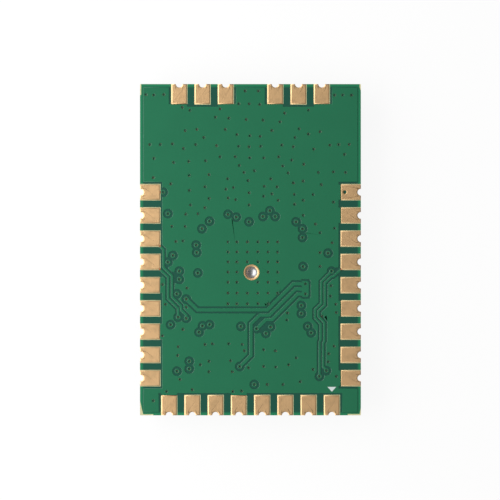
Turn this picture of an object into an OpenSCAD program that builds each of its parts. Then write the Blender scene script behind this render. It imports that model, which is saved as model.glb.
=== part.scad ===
// Castellated radio module: a small circuit board with gold edge pads, lying pads up on its shield can.
// The origin is at the middle of the shield cover's outer face. +Z points out of the pad side and +Y along
// the board towards the antenna pads. All sizes are in millimetres.

/* [Board] */
// Width of the board
board_w = 19; // [17.5:0.1:22]
// Length of the board
board_l = 28.5; // [26:0.1:32]
// Thickness of the laminate core
core_t = 0.8; // [0.4:0.1:1.6]
// Thickness of each outer copper layer
copper_t = 0.045; // [0.03:0.005:0.08]
// Thickness of the solder mask on copper
mask_t = 0.025; // [0.015:0.005:0.04]
// Thickness of the solder mask on bare laminate
floor_mask_t = 0.025; // [0.015:0.005:0.03]
// How far the mask coats the side of the copper
flank_mask = 0.03; // [0.02:0.005:0.04]
// Distance from the ground copper to the board's edge
pour_inset = 0.3; // [0.2:0.05:0.4]

/* [Edge pads] */
// Pads along each side
side_pads = 9; // [9:1:9]
// Distance from the antenna end of the board to the first side pad
first_side_pad = 9.3; // [9:0.05:9.5]
// Distance from the other end of the board to the last side pad
last_side_pad = 3.2; // [3.1:0.05:3.4]
// Pads along the end
end_pads = 8; // [8:1:8]
// Distance from the board's sides to the outer pads of the end
outer_end_pad = 2.5; // [2.4:0.05:2.6]
// Distance from one antenna pad to the next
antenna_pitch = 2; // [1.95:0.01:2.1]
// Width of an edge pad along the board's edge
pad_w = 1.32; // [1.2:0.02:1.4]
// Length of an edge pad from the board's edge inwards
pad_l = 1.72; // [1.6:0.02:1.76]
// Radius of the finished half-round notch
notch_r = 0.29; // [0.25:0.01:0.32]
// Thickness of the plating in notches and holes
plating_t = 0.025; // [0.02:0.005:0.03]
// Width of the ring around each notch on the component side
notch_ring = 0.2; // [0.15:0.01:0.22]
// Gap from an edge pad's inner end to the ground copper
pad_gap = 0.2; // [0.16:0.01:0.24]
// Gap beside the outer pads of a row
row_gap = 0.24; // [0.2:0.01:0.28]
// Gap from the solder mask to a pad that stands free
mask_gap = 0.05; // [0.03:0.01:0.06]

/* [Vias and traces] */
// Radius of a finished via hole
via_r = 0.1; // [0.08:0.01:0.11]
// Radius of the copper land around a signal via
land_r = 0.2; // [0.17:0.01:0.22]
// Gap from a land to the ground copper
land_gap = 0.23; // [0.2:0.01:0.24]
// Width of the wide traces
bus_w = 0.26; // [0.2:0.01:0.28]
// Gap beside the wide traces
bus_gap = 0.18; // [0.15:0.01:0.19]
// Width of the narrow traces
lead_w = 0.17; // [0.14:0.01:0.18]
// Gap beside the narrow traces
lead_gap = 0.16; // [0.14:0.01:0.17]
// Radius of the finished centre hole
centre_r = 0.5; // [0.4:0.02:0.56]
// Radius of the bare gold ring around the centre hole
centre_open_r = 0.68; // [0.62:0.02:0.72]
// Radius of the copper ring around the centre hole
centre_land_r = 0.78; // [0.76:0.01:0.82]
// Depth from the pad face to the solder in the centre hole
plug_depth = 0.12; // [0.05:0.01:0.3]

/* [Shield can] */
// Distance from the shield's cover to the board's sides
shield_side = 0.8; // [0.7:0.05:1]
// Distance from the shield's cover to the board's ends
shield_end = 1.15; // [1.05:0.05:1.35]
// Height of the shield above the board's copper
shield_h = 2; // [1.8:0.1:2.6]
// Thickness of the shield's sheet metal
sheet_t = 0.15; // [0.1:0.01:0.2]
// Gap between the cover's skirt and the frame
cover_gap = 0.02; // [0:0.01:0.04]
// Depth of the cover's skirt
skirt_h = 1.1; // [0.8:0.1:1.4]
// Outer radius of the cover's bends
bend_r = 0.25; // [0.21:0.01:0.35]
// Width of the frame's inner flange
flange_w = 0.8; // [0.6:0.1:1.2]
// Width of the bridges across the frame
bridge_w = 1.4; // [1:0.1:2]
// Width of the opening in the frame over an antenna line
tunnel_w = 1.2; // [1:0.1:1.6]

/* [Chip] */
// Side of the square chip
chip_w = 7; // [6.9:0.05:7.1]
// Height of the chip's body
chip_h = 0.85; // [0.7:0.05:1]
// Contacts along each side of the chip
chip_contacts = 12; // [8:1:12]
// Distance from one chip contact to the next
chip_pitch = 0.5; // [0.45:0.01:0.52]
// Distance from the chip's side to its thermal pad
chip_rim = 0.6; // [0.6:0.01:0.65]

/* [Parts] */
// Thickness of the solder under the parts
solder_t = 0.05; // [0.03:0.01:0.08]
// Size of the crystal: length, width, height
crystal = [2.5, 2, 0.6];
// Size of a front-end chip: length, width, height
front_end = [2.5, 2.5, 0.75];
// Size of an antenna filter: length, width, height
filter = [1.6, 0.8, 0.6];
// Size of a power inductor: length, width, height
inductor = [2.5, 2, 1];
// Size of a capacitor: length, width, height
capacitor = [1, 0.5, 0.5];
// Size of a resistor: length, width, height
resistor = [0.6, 0.3, 0.23];
// Size of a radio coil: length, width, height
coil = [1, 0.5, 0.45];

/* [Hidden] */
$fn = 32;

// Margin by which a cutting shape runs past what it cuts
past = 1;
// Height of the core's lower face, above which the pad side lies
core_z = shield_h + copper_t;
// Radius of the drilled via and notch holes, before plating
via_drill_r = via_r + plating_t;
notch_drill_r = notch_r + plating_t;
// Radius of the plated ring around each notch on the component side
edge_land_r = notch_drill_r + notch_ring;

// Size of the shield over its cover
shield_w = board_w - 2 * shield_side;
shield_l = board_l - 2 * shield_end;
// Size of the frame over its walls, inside the cover's skirt
frame_w = shield_w - 2 * (sheet_t + cover_gap);
frame_l = shield_l - 2 * (sheet_t + cover_gap);
// Relief at the frame's corners, height of the antenna openings, width of the solder seam beside a wall
corner_gap = 0.35;
tunnel_h = 0.6;
seam_w = 0.15;
// Locks between cover and frame: radius, play, height above the board and places along the long sides
lock_r = 0.25;
lock_play = 0.04;
lock_z = shield_h - 0.6 * skirt_h;
lock_y = shield_l / 4;
// Side of the chip's thermal pad
thermal_w = chip_w - 2 * chip_rim;
// Contacts of the chip: width, length and thickness
contact_w = 0.25;
contact_l = 0.4;
contact_t = 0.2;
// Thickness of the contact pads under crystal and front-end chips
pad_foot_t = 0.03;
// Contacts under the crystal: length and width
crystal_contact = [0.8, 0.7];
// Contacts along each side of a front-end chip: count, pitch, width, length, and side of its middle pad
front_end_count = 3;
front_end_pitch = 0.7;
front_end_contact = [0.35, 0.35];
front_end_middle = 1.2;
// Rim of the crystal's base around its lid, and the base's share of the height
lid_rim = 0.15;
base_share = 0.6;
// Solder toe beyond a terminal, gap around the lands, width of an antenna line and its gap
toe = 0.16;
part_gap = 0.13;
line_w = 0.35;
line_gap = 0.25;

// The layout below is drawn for inner pad ends that lie 7.78 and 12.53 from the board's middle, and for pads
// 1.72 long. Between the pads it spreads with the board, and beside them with the length of the pads.
function spread(v, reach, drawn) =
    abs(v) < drawn ? v * reach / drawn : sign(v) * (reach + (abs(v) - drawn) * pad_l / 1.72);
function placed(p) = [spread(p[0], board_w / 2 - pad_l, 7.78), spread(p[1], board_l / 2 - pad_l, 12.53)];
function all_placed(points) = [for (p = points) placed(p)];

// Middle of the chip, over the field of thermal vias
chip_at = placed([0.2, -2]);
// Middle of the centre hole
centre_at = placed([0.1, -1.95]);
// Place of the middle antenna pads to either side of the board's middle, as drawn and on this board
function antenna_at() = 4.13;
antenna_x = placed([antenna_at(), 0])[0];

// Edge pads as [place on the board's edge, turn that points inwards]
side_pitch = (board_l - first_side_pad - last_side_pad) / (side_pads - 1);
end_pitch = (board_w - 2 * outer_end_pad) / (end_pads - 1);
function side_y(i) = board_l / 2 - first_side_pad - i * side_pitch;
left_pads = [for (i = [0:side_pads - 1]) [[-board_w / 2, side_y(i)], 0]];
right_pads = [for (i = [0:side_pads - 1]) [[board_w / 2, side_y(i)], 180]];
bottom_pads = [for (i = [0:end_pads - 1]) [[(i - (end_pads - 1) / 2) * end_pitch, -board_l / 2], 90]];
left_antenna = [for (i = [-1:1]) [[-antenna_x + i * antenna_pitch, board_l / 2], -90]];
right_antenna = [for (i = [-1:1]) [[antenna_x + i * antenna_pitch, board_l / 2], -90]];
all_pads = concat(left_pads, right_pads, bottom_pads, left_antenna, right_antenna);

// Pads whose inner end runs into the ground copper
ground_pads = concat(
    [left_pads[4], left_pads[6]],
    [right_pads[0], right_pads[1], right_pads[5], right_pads[8]],
    [bottom_pads[0], bottom_pads[3]],
    [left_antenna[0], left_antenna[2], right_antenna[0], right_antenna[2]]
);

// Point beside the inner corner of a side pad, on the pad's lower side, as drawn for pads 1.72 long
function by_left_pad(i, p) = [-board_w / 2 + pad_l, side_y(i) - pad_w / 2] + p * pad_l / 1.72;
function by_right_pad(i, p) = [board_w / 2 - pad_l, side_y(i) - pad_w / 2] + p * pad_l / 1.72;

// Ground vias on the antenna half of the board
antenna_half_vias = all_placed([
    [-9, 13.35], [-8.3, 13.3], [-7.45, 13.35], [-5.85, 12.25], [-5.2, 12], [-2.6, 12.1], [-3, 11.4],
    [-1.85, 11.3], [-0.35, 11.2], [-0.45, 13.65], [0.7, 13.65], [-1, 12.55], [-0.1, 12.55], [0.8, 12.5],
    [-5.6, 10.25], [-4.6, 10.35], [-4, 9.65], [-2.15, 10.35], [-1.15, 9.9], [-0.05, 9.8], [-8.65, 9.05],
    [-7.75, 9.05], [-6.7, 9.1], [-5.75, 8.7], [-4.7, 9.05], [-2.9, 8.95], [-1, 8.9], [-0.1, 8.85],
    [-8.3, 7.85], [-6.6, 7.5], [-5.3, 7.6], [-3.85, 7.65], [-2.6, 8], [-1.3, 8], [-0.05, 7.9],
    [-0.95, 7.25], [-0.55, 6.65], [0.35, 6.8], [-8.35, 6.2], [-6.85, 5.65], [-5.25, 6.4], [-3.55, 6.45],
    [-1.95, 6.1], [-0.2, 5.95], [-3.9, 5.4], [-5.25, 5.1], [-2.1, 5.2], [-1.45, 5.35], [-0.1, 4.9],
    [-3.55, 4.4], [-1.9, 4.45], [-1.25, 4.3], [2.95, 11.75], [5, 12], [1.1, 11.15], [2.55, 11],
    [1.85, 10.25], [4.2, 10.4], [5, 9.95], [3.85, 9.65], [6, 10.15], [0.85, 9.75], [0.9, 8.9], [2.7, 9],
    [3.7, 8.85], [5.45, 8.65], [6.85, 9], [7.6, 9.05], [8.5, 9.05], [8.1, 8.2], [1.15, 7.9], [2.45, 8],
    [3.55, 7.7], [2.8, 7.2], [4.6, 7.35], [3.25, 6.6], [5.85, 6.65], [7.15, 6.7], [8.2, 6.65],
    [1.75, 6.1], [3.7, 5.75], [4.55, 5.9], [6.1, 5.6], [1.2, 5.45], [2.3, 5.4], [1.85, 4.8],
    [1.15, 4.6], [3.8, 4.75], [5.4, 4.75], [2.4, 4.25], [4.55, 4.25], [7.25, 13.3], [7.95, 13.3],
    [8.7, 13.3],
]);

// Ground vias beside the chip
chip_side_vias = all_placed([
    [-5.15, 3.85], [-3.9, 3.6], [-5.55, 3.05], [-4.5, 3.1], [-6.75, 2], [-5.6, 2], [-6.4, 0.7],
    [-5.8, 0.75], [-0.1, 3.85], [3.8, 3.9], [7.15, 4.1], [4.55, 2.95], [5.6, 2.2], [7.25, 1.85],
    [6, 1.45], [7.05, 0.6], [6, -0.25], [6, -1.45], [-7.55, -3], [-5.45, -3.3], [-7.3, -4.7],
    [-5.5, -4.95], [6.95, -3.1], [6.9, -4], [7.35, -4.7],
]);

// Ground vias on the lower part of the board
lower_vias = all_placed([
    [-5.8, -6.85], [-7.55, -7.4], [-6.2, -8.35], [-6.25, -9.1], [-6.05, -11.15], [-3.9, -8.15],
    [-3.25, -8.1], [-1.85, -8.1], [-0.7, -8.15], [-0.5, -8.7], [-3.55, -9.6], [-4.3, -9.9],
    [-3.55, -10.5], [-1.7, -9.55], [-1.55, -10.5], [-0.15, -10.15], [-8.35, -13], [-7.2, -12.2],
    [-5, -12.05], [-1.5, -12.2], [-0.75, -12.15], [3.2, -5.45], [3.15, -6.05], [6.2, -5.75],
    [7.4, -5.4], [1.15, -8.6], [2.15, -8.7], [3.95, -9.3], [3.3, -9.9], [1.15, -10.05], [2.2, -10.1],
    [5.4, -10.3], [7.2, -8.3], [6.75, -8.95], [6.7, -9.65], [7.4, -10.9], [4.3, -11.35],
    [1.45, -11.6], [2.8, -11.6],
]);

// Thermal vias under the chip, column by column, with the places that the centre hole takes left out
thermal_columns = [-1.92, -1.15, -0.25, 0.65, 1.53, 2.35];
thermal_rows = [0.67, -0.2, -1.05, -1.93, -2.8, -3.73, -4.65];
thermal_grid = all_placed([for (x = thermal_columns, y = thermal_rows) if (!(x > 2 && y < -4.5)) [x, y]]);
thermal_vias = [for (p = thermal_grid) if (norm(p - centre_at) > centre_land_r + land_r - 0.03) p];
// The one ground via that stands in a pad
pad_via = [placed([8.12, 0])[0], side_y(0)];
ground_vias = concat(antenna_half_vias, chip_side_vias, lower_vias, thermal_vias);

// The signal vias that stand by an edge pad, and the other ones, each with a land of its own
first_via = [placed([-7.5, 0])[0], side_y(0)];
lead_via = by_right_pad(3, [-0.78, -0.14]);
free_signal_vias = all_placed([
    [-7.08, 3.1], [-3.5, 2.45], [-4.15, 1.8], [-4.65, 0.4], [-4.6, -0.25], [-6.65, -0.5],
    [-7.08, -1.07], [-6.1, -1.85], [-6.1, -2.55], [-4.5, -2], [-6.3, -3.8], [-5.5, -4.25], [-1.9, 3.05],
    [-1.2, 2.8], [-0.1, 2.4], [1.7, 3.35], [1.1, 2.85], [2.15, 2.85], [3.95, 2.4], [4.5, 1.8],
    [4.5, 1.05], [6.7, -0.3], [4.55, -1.45], [4.4, -4.8], [4.4, -5.5], [4.95, -6.6],
    [5.25, -7.15], [1.75, -6.65], [1.35, -7.2], [0.55, -6.8], [-0.8, -6.6], [-6.2, -5.8], [-5.5, -5.9],
    [-6.85, -6.45], [-4.1, -6.55], [-3.5, -6.45], [-4.4, -7.1], [-5.25, -9.6], [-5.25, -10.25],
    [-6.3, -10.45], [-0.9, -10.05], [0.35, -11.6], [5.95, -10.9], [6.55, -10.4],
]);
signal_vias = concat([first_via, lead_via], free_signal_vias);
// Pairs of signal vias whose clearances in the ground copper overlap or all but touch
near_reach = 2 * (land_r + land_gap) + 0.05;
last_signal_via = len(signal_vias) - 1;
near_pairs = [
    for (i = [0:last_signal_via - 1], j = [i + 1:last_signal_via])
        if (norm(signal_vias[i] - signal_vias[j]) < near_reach) [signal_vias[i], signal_vias[j]]
];
// Vias of the copper island that joins the wide traces
island_vias = all_placed([[4.75, -2.95], [4.75, -3.8]]);
all_vias = concat(ground_vias, signal_vias, island_vias, [pad_via]);

// Copper island that joins the wide traces: its corners, before any growth
island_from = placed([4.42, -4.05]);
island_to = placed([5.02, -2.7]);
island_cut = 0.14;

// Centre lines of the wide traces
bus_traces = [
    all_placed([[-5.5, -4.25], [-4.55, -5.18], [1.45, -5.18], [3.7, -2.93], [4.5, -2.93]]),
    all_placed([
        [-0.9, -10.05], [0.05, -9.1], [0.05, -6.38], [0.8, -5.63], [1.63, -5.63], [3.88, -3.38], [4.5, -3.38],
    ]),
    all_placed([[0.55, -6.8], [1.33, -6.02], [1.87, -6.02], [4.07, -3.82], [4.5, -3.82]]),
];
// Centre lines of the narrow traces, of which four start a little inside an edge pad
function start_in() = 0.1;
lead_traces = [
    concat(
        [by_left_pad(3, [-start_in(), start_in()]), by_left_pad(3, [0.7, -0.64])],
        all_placed([[-7.08, -4.2], [-6.23, -5.05], [-6.2, -5.8]])
    ),
    concat(
        [by_left_pad(2, [-start_in(), start_in()]), by_left_pad(2, [0.3, -0.29])],
        [by_left_pad(3, [0.3, 0.19]), by_left_pad(3, [1.03, -0.54])],
        all_placed([[-6.75, -4.05], [-5.98, -4.82], [-5.95, -5.2], [-5.5, -5.65], [-5.5, -5.9]])
    ),
    concat(
        [lead_via, by_right_pad(3, [-1.68, -1.04])],
        all_placed([
            [6.1, -4.63], [5.56, -5.15], [5.56, -5.86], [6.05, -6.4], [6.05, -7.75],
            [5.95, -7.92], [5.95, -10.9],
        ])
    ),
    concat(
        [by_right_pad(3, [start_in(), start_in()]), by_right_pad(3, [-0.66, -0.59])],
        [by_right_pad(3, [-0.83, -0.62]), by_right_pad(3, [-1.37, -1.16])],
        all_placed([
            [6.41, -4.75], [5.86, -5.28], [5.86, -5.73], [6.36, -6.28], [6.36, -7.85], [6.26, -8.02],
            [6.26, -10.05], [6.55, -10.4],
        ])
    ),
    [[-board_w / 2 + pad_l - start_in(), side_y(0)], first_via],
];

// Bare patches between traces and lands that stand too close for ground copper, each turning left
bare_patches = [
    all_placed([[0.7, -6.7], [1.5, -5.9], [0.95, -5.65], [0.2, -6.05], [0.2, -6.8]]),
    all_placed([[0.6, -6.75], [1.35, -7.2], [1.75, -6.65], [1.95, -6.15], [1.35, -5.95]]),
    [for (p = [[-0.63, 0.16], [-0.48, -0.49], [-0.03, -0.44], [-0.03, 0.21]]) by_right_pad(3, p)],
    [for (p = [[0.03, 0.21], [0.03, -0.44], [0.48, -0.44], [0.53, 0.21]]) by_left_pad(3, p)],
    [for (p = [[0.45, 0.06], [0.71, 0.04], [0.78, 0.34], [0.45, 0.46]]) by_left_pad(3, p)],
    all_placed([[-6.15, -5.45], [-6.15, -5.9], [-5.7, -5.9], [-5.7, -5.45]]),
    all_placed([[5.95, -10.7], [6.35, -10.7], [6.35, -10.15], [5.95, -10.15]]),
    all_placed([
        [-6.75, -2.3], [-6.75, -2.9], [-6.38, -2.9], [-6.25, -2.55], [-6.25, -2],
        [-6.75, -1.85], [-6.85, -2.1],
    ]),
];

// Scars at the board's corners, as [corner, run along the end, run along the side, bend between them]
scars = [
    [[-1, -1], 1.15, 1.25, [0.27, 0.1]],
    [[1, -1], 1.15, 0.7, [0.12, 0.12]],
    [[-1, 1], 0.1, 1, [0.08, 0.9]],
    [[1, 1], 0.12, 0.6, [0.1, 0.35]],
];
// Pin mark beyond the last pad of the end: width, length, thickness and distance from the pad
mark_w = 0.74;
mark_l = 0.42;
mark_t = 0.012;
mark_gap = 0.31;

// Parts of the component side, as [middle, turn]
along = 0;
across = 90;
function turned(points, turn) = [for (p = points) [placed(p), turn]];
function pair(x, y) = [[-x, y], [x, y]];
crystal_places = turned([[-5.9, 3.4]], across);
front_end_places = turned(pair(antenna_at(), 7.2), along);
filter_places = turned(pair(antenna_at(), 10.6), across);
inductor_places = turned(pair(5.4, -9), along);
coil_places = turned(concat(pair(6.3, 7.9), pair(6.3, 6.4), pair(1.9, 7.9), pair(1.9, 10.6)), across);
capacitor_places = concat(
    turned([for (x = [-2.6:1:3.4]) [x, 3.9]], across),
    turned([for (x = [-2.6:1:2.4]) [x, -7.9]], across),
    turned([for (y = [-4.2:1:0.8]) [5.6, y]], along),
    turned([for (x = [-1.8, 0, 1.8]) [x, -9.9]], along),
    turned([for (y = [5.4, 8.2]) [0, y]], along),
    turned(pair(7.6, -9), across)
);
resistor_places = concat(
    turned([for (y = [-4.1:0.9:0.4]) [-5.3, y]], along),
    turned([for (x = [5, 5.8, 6.6]) each pair(x, -6.6)], across),
    turned(pair(1.2, 5.4), across)
);

// ---- Outlines ----

// Points of the two sides of a stroke of even width along a bent line, with mitred corners
function unit(v) = v / norm(v);
function left_of(v) = [-v[1], v[0]];
function direction(path, i) = unit(path[i + 1] - path[i]);
function mitre(p, a, b, d) = let (n = unit(left_of(a) + left_of(b))) p + n * d / (n * left_of(a));
function side_of(path, d) = [
    for (i = [0:len(path) - 1])
        mitre(path[i], direction(path, max(i - 1, 0)), direction(path, min(i, len(path) - 2)), d)
];
function reversed(list) = [for (i = [len(list) - 1:-1:0]) list[i]];
// Points of a closed outline that turns left, drawn in by a distance
function drawn_in(points, d) = let (n = len(points)) [
    for (i = [0:n - 1])
        let (p = points[i], before = unit(p - points[(i + n - 1) % n]), after = unit(points[(i + 1) % n] - p))
            mitre(p, before, after, d)
];
function stroke(path, w) = concat(side_of(path, w / 2), reversed(side_of(path, -w / 2)));

// Repeats a shape at each place of a list of points
module at_each(points) {
    for (p = points) translate(p) children();
}

// Repeats a shape at each [point, turn] of a list
module at_places(places) {
    for (p = places) translate(p[0]) rotate(p[1]) children();
}

module board_outline() {
    square([board_w, board_l], center = true);
}

// Outline of the ground copper, grown by the mask's coat where that is asked for
module pour_outline(grow) {
    square([board_w - 2 * (pour_inset - grow), board_l - 2 * (pour_inset - grow)], center = true);
}

// Window of bare laminate around a row of pads, from the board's edge inwards
module row_window(first, last, inset) {
    run = norm(last[0] - first[0]) / 2 + pad_w / 2 + row_gap - inset;
    translate((first[0] + last[0]) / 2) rotate(first[1])
        translate([-past, -run]) square([past + pad_l + pad_gap - inset, 2 * run]);
}

// Bare laminate beside the outer pads of an antenna group and around its middle pad
module antenna_window(group, inset) {
    run = antenna_pitch + pad_w / 2 + row_gap - inset;
    between = antenna_pitch - pad_w / 2 - inset;
    translate(group[1][0]) rotate(group[1][1]) {
        translate([-past, -run]) square([past + pad_l - inset, 2 * run]);
        translate([-past, -between]) square([past + pad_l + row_gap - inset, 2 * between]);
    }
}

module row_windows(inset) {
    row_window(left_pads[0], left_pads[side_pads - 1], inset);
    row_window(right_pads[0], right_pads[side_pads - 1], inset);
    row_window(bottom_pads[0], bottom_pads[end_pads - 1], inset);
    antenna_window(left_antenna, inset);
    antenna_window(right_antenna, inset);
}

// Copper between a ground pad's inner end and the pour
module ground_tabs(grow) {
    at_places(ground_pads) translate([pad_l, -pad_w / 2 - grow]) square([pad_gap + grow, pad_w + 2 * grow]);
}

// Clearances of the traces, lands and island in the ground copper
module channels(inset) {
    for (t = bus_traces) polygon(stroke(t, bus_w + 2 * (bus_gap - inset)));
    for (t = lead_traces) polygon(stroke(t, lead_w + 2 * (lead_gap - inset)));
    at_each(signal_vias) circle(land_r + land_gap - inset);
    for (p = near_pairs) polygon(stroke(p, 2 * (land_r - inset)));
    island(bus_gap - inset);
}

module island(grow) {
    low = island_from - [0, grow];
    high = island_to + [grow, grow];
    polygon([
        low, [high[0] - island_cut, low[1]], [high[0], low[1] + island_cut],
        [high[0], high[1] - island_cut], [high[0] - island_cut, high[1]], [low[0], high[1]],
    ]);
}

// Ground copper of the pad side
module pour(grow) {
    difference() {
        pour_outline(grow);
        difference() {
            row_windows(grow);
            ground_tabs(grow);
        }
        channels(grow);
        for (patch = bare_patches) polygon(drawn_in(patch, grow));
    }
}

// Traces with the lands at their ends, as plates of one height
module trace_plates(grow, h) {
    for (t = bus_traces) linear_extrude(h) polygon(stroke(t, bus_w + 2 * grow));
    for (t = lead_traces) linear_extrude(h) polygon(stroke(t, lead_w + 2 * grow));
    linear_extrude(h) island(grow);
    at_each([for (v = signal_vias) if (on_trace(v)) v]) cylinder(r = land_r + grow, h = h);
}

module lone_lands(grow) {
    at_each([for (v = signal_vias) if (!on_trace(v)) v]) circle(land_r + grow);
}

// Whether a via is an end of a trace
function trace_ends() = [for (t = concat(bus_traces, lead_traces)) each [t[0], t[len(t) - 1]]];
function on_trace(v) = len([for (e = trace_ends()) if (norm(e - v) < 0.1) e]) > 0;

module pad_plates(grow) {
    at_places(all_pads) translate([-past, -pad_w / 2 - grow]) square([past + pad_l + grow, pad_w + 2 * grow]);
}

module via_holes(r) {
    at_each(all_vias) circle(r, $fn = 16);
}

module notches(r) {
    at_places(all_pads) circle(r);
}

// Openings of the pad side's mask over the pads: clear of a free pad, flush with a ground pad's inner end
module pad_openings() {
    difference() {
        pad_plates(mask_gap);
        at_places(ground_pads) translate([pad_l, -pad_w / 2 - mask_gap])
            square([mask_gap, pad_w + 2 * mask_gap]);
    }
}

// Bare laminate left at a corner, where the board was broken out of its panel
module corner_scar(corner, end_run, side_run, bend) {
    outline = [
        [-past, -past], [end_run, -past], [end_run, bend[1]], bend, [0, side_run], [-past, side_run],
    ];
    polygon([for (p = outline) [corner[0] * (board_w / 2 - p[0]), corner[1] * (board_l / 2 - p[1])]]);
}

module corner_scars() {
    for (s = scars) corner_scar(s[0], s[1], s[2], s[3]);
}

// ---- Frames of the two sides ----

module on_pad_side() {
    translate([0, 0, core_z + core_t]) children();
}

// Turns a shape built upwards so that it stands on the component side, which faces down
module on_component_side() {
    translate([0, 0, shield_h]) mirror([0, 0, 1]) children();
}

// ---- Board ----

module board_core() {
    color("khaki") translate([0, 0, core_z]) linear_extrude(core_t) difference() {
        board_outline();
        notches(notch_drill_r);
        via_holes(via_drill_r);
        translate(centre_at) circle(centre_r + plating_t);
    }
}

module ground_copper() {
    color("chocolate") on_pad_side() linear_extrude(copper_t) difference() {
        pour(0);
        via_holes(via_drill_r);
        translate(centre_at) circle(centre_land_r);
    }
}

module signal_traces() {
    color("chocolate") on_pad_side() difference() {
        trace_plates(0, copper_t);
        translate([0, 0, -past]) linear_extrude(2 * past) pad_plates(0);
        translate([0, 0, -past]) linear_extrude(2 * past) via_holes(via_drill_r);
    }
}

module via_lands() {
    color("chocolate") on_pad_side() linear_extrude(copper_t) difference() {
        lone_lands(0);
        via_holes(via_drill_r);
    }
}

// Edge pad with its half barrel down the notch and its half ring on the other side
module edge_pad() {
    difference() {
        union() {
            translate([-past, -pad_w / 2, core_t]) cube([past + pad_l, pad_w, copper_t]);
            cylinder(r = notch_drill_r, h = core_t);
            translate([0, 0, -copper_t]) cylinder(r = edge_land_r, h = copper_t);
        }
        translate([0, 0, -past]) cylinder(r = notch_r, h = core_t + 2 * past);
        translate([-2 * past, -pad_w, -past]) cube([2 * past, 2 * pad_w, core_t + 2 * past]);
    }
}

module edge_pads(places) {
    color("gold") translate([0, 0, core_z]) at_places(places) edge_pad();
}

module left_edge_pads() {
    edge_pads(left_pads);
}

module right_edge_pads() {
    color("gold") difference() {
        edge_pads(right_pads);
        translate([pad_via[0], pad_via[1], core_z]) cylinder(r = via_drill_r, h = core_t + past, $fn = 16);
    }
}

module bottom_edge_pads() {
    edge_pads(bottom_pads);
}

module left_antenna_pads() {
    edge_pads(left_antenna);
}

module right_antenna_pads() {
    edge_pads(right_antenna);
}

// Plating of the via holes, from the outer face of one copper layer to that of the other
module via_barrels() {
    color("peru") translate([0, 0, shield_h]) linear_extrude(core_t + 2 * copper_t) difference() {
        via_holes(via_drill_r);
        via_holes(via_r);
    }
}

// Plating of the centre hole with its ring on the pad side
module centre_hole_barrel() {
    color("gold") translate([centre_at[0], centre_at[1], shield_h]) difference() {
        union() {
            cylinder(r = centre_r + plating_t, h = core_t + 2 * copper_t);
            translate([0, 0, core_t + copper_t]) cylinder(r = centre_land_r, h = copper_t);
        }
        translate([0, 0, -past]) cylinder(r = centre_r, h = core_t + 2 * past);
    }
}

// Solder that has run into the centre hole, with a hollow face
module centre_solder_plug() {
    hollow = 1.2 * centre_r;
    top = core_t + 2 * copper_t - plug_depth;
    color("silver") translate([centre_at[0], centre_at[1], shield_h]) difference() {
        cylinder(r = centre_r, h = top);
        translate([0, 0, top + sqrt(hollow * hollow - centre_r * centre_r)]) sphere(r = hollow, $fn = 48);
    }
}

// Mask of the pad side: raised over the copper, low over the bare laminate
module pad_side_solder_mask() {
    color("seagreen") on_pad_side() difference() {
        union() {
            linear_extrude(floor_mask_t) board_outline();
            linear_extrude(copper_t + mask_t) pour(flank_mask);
            linear_extrude(copper_t + mask_t) lone_lands(flank_mask);
            trace_plates(flank_mask, copper_t + mask_t);
        }
        linear_extrude(copper_t) pour(0);
        linear_extrude(copper_t) lone_lands(0);
        trace_plates(0, copper_t);
        translate([0, 0, -past]) linear_extrude(2 * past) mask_openings();
    }
}

// Openings through the pad side's mask
module mask_openings() {
    pad_openings();
    corner_scars();
    via_holes(via_drill_r);
    translate(centre_at) circle(centre_open_r);
}

module pin_one_mark() {
    color("white") on_pad_side() translate([0, 0, copper_t + mask_t]) linear_extrude(mark_t)
        at_places([bottom_pads[end_pads - 1]]) translate([pad_l + mark_gap, 0])
            polygon([[0, 0], [mark_l, -mark_w / 2], [mark_l, mark_w / 2]]);
}

// ---- Component side ----

// Length of a two-ended part's terminals along the part
function end_length(size) = 0.25 * size[0];

// Height of a two-ended part's terminals: the power inductors' stay low
function end_height(size) = size[2] > 0.9 ? 0.35 * size[2] : size[2];

// Both ends of a two-ended part, each drawn along +X
module both_ends() {
    children();
    mirror([1, 0, 0]) children();
}

module end_lands(size) {
    both_ends() translate([size[0] / 2 - end_length(size), -size[1] / 2])
        square([end_length(size) + toe, size[1]]);
}

module end_window(size) {
    square([size[0] + 2 * (toe + part_gap), size[1] + 2 * part_gap], center = true);
}

// Terminals stand on the solder and close the ends of the body
module end_terminals(size) {
    both_ends() translate([size[0] / 2 - end_length(size), -size[1] / 2, solder_t])
        cube([end_length(size), size[1], end_height(size)]);
}

module end_body(size) {
    slim = size[2] > 0.9 ? 0 : 0.02;
    translate([0, 0, solder_t]) difference() {
        translate([-size[0] / 2, -size[1] / 2 + slim, slim])
            cube([size[0], size[1] - 2 * slim, size[2] - 2 * slim]);
        both_ends() translate([size[0] / 2 - end_length(size), -size[1], -past])
            cube([size[0], 2 * size[1], past + end_height(size)]);
    }
}

// Solder under a terminal with a sloped fillet up its end
module end_solder(size) {
    inner = size[0] / 2 - end_length(size);
    outer = size[0] / 2;
    section = [[inner, 0], [outer + toe, 0], [outer, solder_t + toe], [outer, solder_t], [inner, solder_t]];
    both_ends() rotate([90, 0, 0]) translate([0, 0, -size[1] / 2]) linear_extrude(size[1]) polygon(section);
}

// Contacts of a chip along its four sides, as rectangles seen from above: out runs past the body's side
module side_contacts(w, count, pitch, width, length, out) {
    for (side = [0:3]) rotate(90 * side)
        for (i = [0:count - 1])
            translate([(i - (count - 1) / 2) * pitch - width / 2, -w / 2 - out])
                square([width, length + out]);
}

module chip_contact_plan(out) {
    translate(chip_at) side_contacts(chip_w, chip_contacts, chip_pitch, contact_w, contact_l, out);
}

module chip_thermal_plan() {
    translate(chip_at) square(thermal_w, center = true);
}

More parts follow.
